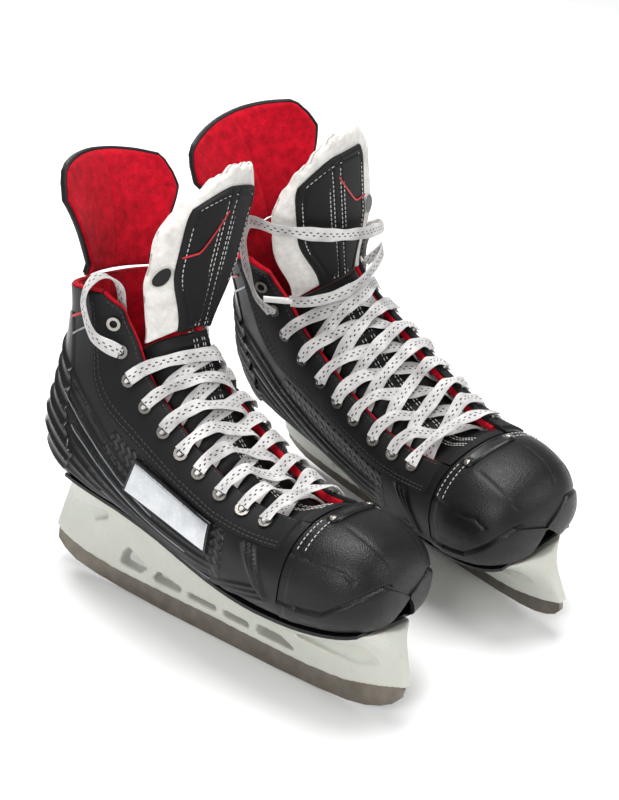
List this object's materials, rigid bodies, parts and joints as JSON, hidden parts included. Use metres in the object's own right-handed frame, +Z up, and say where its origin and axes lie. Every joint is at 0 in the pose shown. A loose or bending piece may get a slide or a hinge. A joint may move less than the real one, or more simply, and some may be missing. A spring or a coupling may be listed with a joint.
{
  "type": "ice hockey skates",
  "caption": "A pair of black ice hockey skates with red felt linings, white laces, white blade holders and steel runners, leaning on each other.",
  "frame": {"origin": "centre of the pair's bounding box in plan, on the ice surface that the runners stand on", "axes": "+Z up, -Y towards the toes, +X from the right skate (at -X) to the left skate"},
  "size_m": [0.2637, 0.3045, 0.2975],
  "materials": {
    "runner_steel": "ground, worn",
    "plated_steel": "zinc plated",
    "holder_nylon": "satin moulded nylon",
    "sole_plastic": "moulded, satin",
    "fibre_board": "matt board",
    "footbed_foam": "brushed knit over foam",
    "toe_plastic": "fine pebbled",
    "shell_plastic": "satin",
    "panel_weave": "woven look, satin",
    "badge_silver": "silver film",
    "counter_plastic": "glossy, ribbed",
    "band_leather": "matt synthetic leather",
    "eyelet_nickel": "nickel plated, worn",
    "liner_red": "brushed felt",
    "tongue_felt_white": "felt, slightly soiled",
    "lace_cotton": "flat woven, slightly soiled",
    "lace_tip": "clear film wrapped"
  },
  "bodies": {
    "right_skate": {"right_runner": "runner_steel", "right_runner_bolts": "plated_steel", "right_barrel_nuts": "plated_steel", "right_holder": "holder_nylon", "right_holder_screws": "plated_steel", "right_outsole": "sole_plastic", "right_insole_board": "fibre_board", "right_footbed": "footbed_foam", "right_toe_cap": "toe_plastic", "right_toe_plate": "toe_plastic", "right_quarter_lateral": "shell_plastic", "right_quarter_medial": "shell_plastic", "right_side_panels": "panel_weave", "right_side_badge": "badge_silver", "right_heel_counter": "counter_plastic", "right_eyestay_lateral": "band_leather", "right_eyestay_medial": "band_leather", "right_eyelets": "eyelet_nickel", "right_liner": "liner_red", "right_ankle_pads": "footbed_foam", "right_tongue_base": "band_leather", "right_lace": "lace_cotton", "right_lace_ends": "lace_cotton", "right_lace_tips": "lace_tip"},
    "right_tongue": {"right_tongue_felt": "tongue_felt_white", "right_tongue_face": "band_leather", "right_size_tag": "toe_plastic"},
    "right_guard": {"right_guard_shell": "shell_plastic", "right_guard_felt": "liner_red"},
    "left_skate": {"left_runner": "runner_steel", "left_runner_bolts": "plated_steel", "left_barrel_nuts": "plated_steel", "left_holder": "holder_nylon", "left_holder_screws": "plated_steel", "left_outsole": "sole_plastic", "left_insole_board": "fibre_board", "left_footbed": "footbed_foam", "left_toe_cap": "toe_plastic", "left_toe_plate": "toe_plastic", "left_quarter_lateral": "shell_plastic", "left_quarter_medial": "shell_plastic", "left_side_panels": "panel_weave", "left_side_badge": "badge_silver", "left_heel_counter": "counter_plastic", "left_eyestay_lateral": "band_leather", "left_eyestay_medial": "band_leather", "left_eyelets": "eyelet_nickel", "left_liner": "liner_red", "left_ankle_pads": "footbed_foam", "left_tongue_base": "band_leather", "left_lace": "lace_cotton", "left_lace_ends": "lace_cotton", "left_lace_tips": "lace_tip"},
    "left_tongue": {"left_tongue_felt": "tongue_felt_white", "left_tongue_face": "band_leather", "left_size_tag": "toe_plastic"},
    "left_guard": {"left_guard_shell": "shell_plastic", "left_guard_felt": "liner_red"}
  },
  "joints": [
    {"name": "pair_spacing", "type": "slide", "parent": "right_skate", "child": "left_skate", "axis": [1, 0, 0], "range_m": [0, 0.12]},
    {"name": "right_tongue_fold", "type": "hinge", "parent": "right_skate", "child": "right_tongue", "pos_m": [-0.05991, 0.05479, 0.18667], "axis": [0.9743, 0.1144, -0.1942], "range_deg": [-12, 15]},
    {"name": "right_guard_flex", "type": "hinge", "parent": "right_skate", "child": "right_guard", "pos_m": [-0.06481, 0.12973, 0.20629], "axis": [0.9743, 0.1144, -0.1942], "range_deg": [-25, 12], "stiffness_Nm_per_rad": 1.5},
    {"name": "left_tongue_fold", "type": "hinge", "parent": "left_skate", "child": "left_tongue", "pos_m": [0.05991, 0.04879, 0.18667], "axis": [0.9743, -0.1144, 0.1942], "range_deg": [-12, 0]},
    {"name": "left_guard_flex", "type": "hinge", "parent": "left_skate", "child": "left_guard", "pos_m": [0.06481, 0.12373, 0.20629], "axis": [0.9743, -0.1144, 0.1942], "range_deg": [-25, 12], "stiffness_Nm_per_rad": 1.5}
  ]
}
